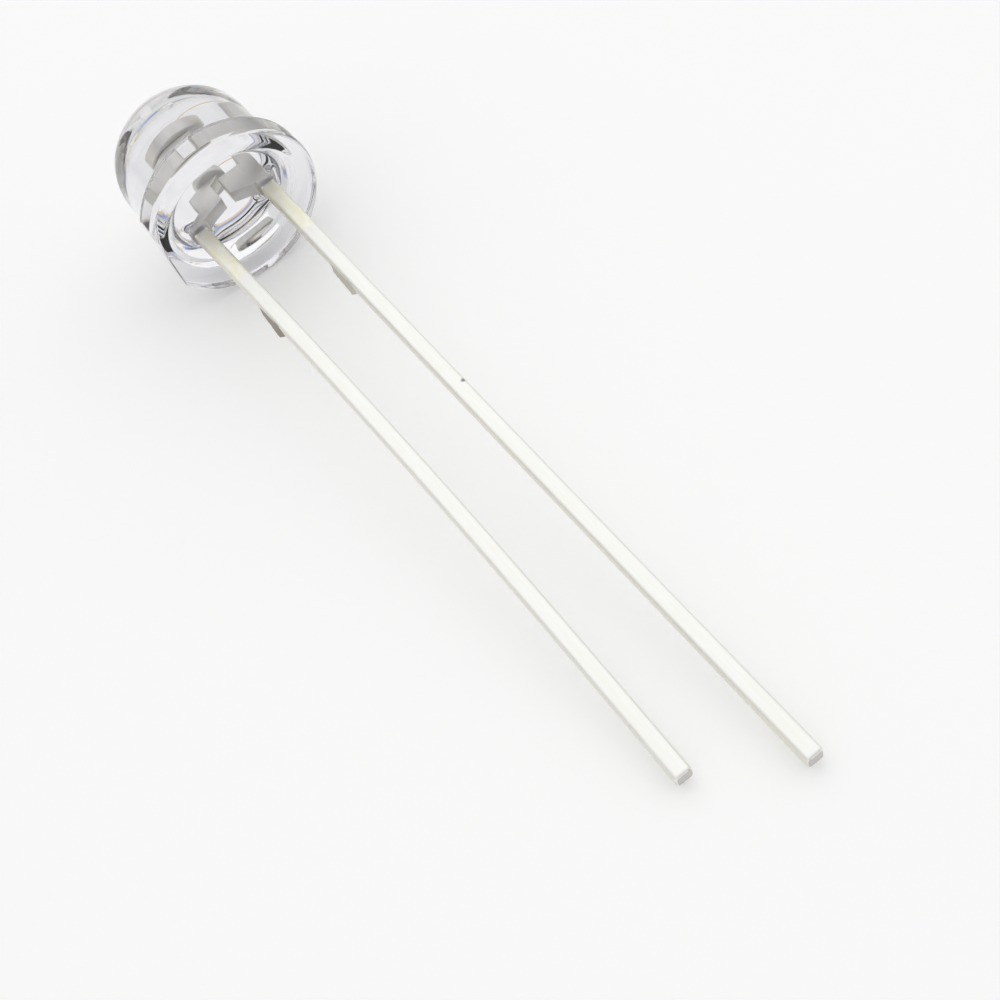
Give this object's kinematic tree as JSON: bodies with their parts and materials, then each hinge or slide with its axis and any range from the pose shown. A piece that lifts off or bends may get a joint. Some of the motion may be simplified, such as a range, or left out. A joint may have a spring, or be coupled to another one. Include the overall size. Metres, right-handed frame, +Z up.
{
  "type": "through hole led",
  "caption": "Clear through-hole light-emitting diode with a low dome, a flange with a flat on the cathode's side and two long square leads, lying loose as it came to rest.",
  "frame": {"origin": "on the surface that the part lies on, under the middle of its outline", "axes": "+Z up; +X along the leads, away from the dome; +Y to the anode's side"},
  "size_m": [0.0294, 0.0056, 0.0058],
  "materials": {
    "clear_epoxy": "water-clear moulded epoxy, glossy",
    "plated_lead": "solder-dipped and silver-plated steel, satin",
    "chip": "polished semiconductor",
    "silver_glue": "silver-filled epoxy, matte",
    "gold_wire": "drawn gold, bright"
  },
  "bodies": {
    "root": {"lens_case": "clear_epoxy", "cathode_lead": "plated_lead", "anode_lead": "plated_lead", "die": "chip", "die_glue": "silver_glue", "bond_wire": "gold_wire"}
  },
  "joints": []
}
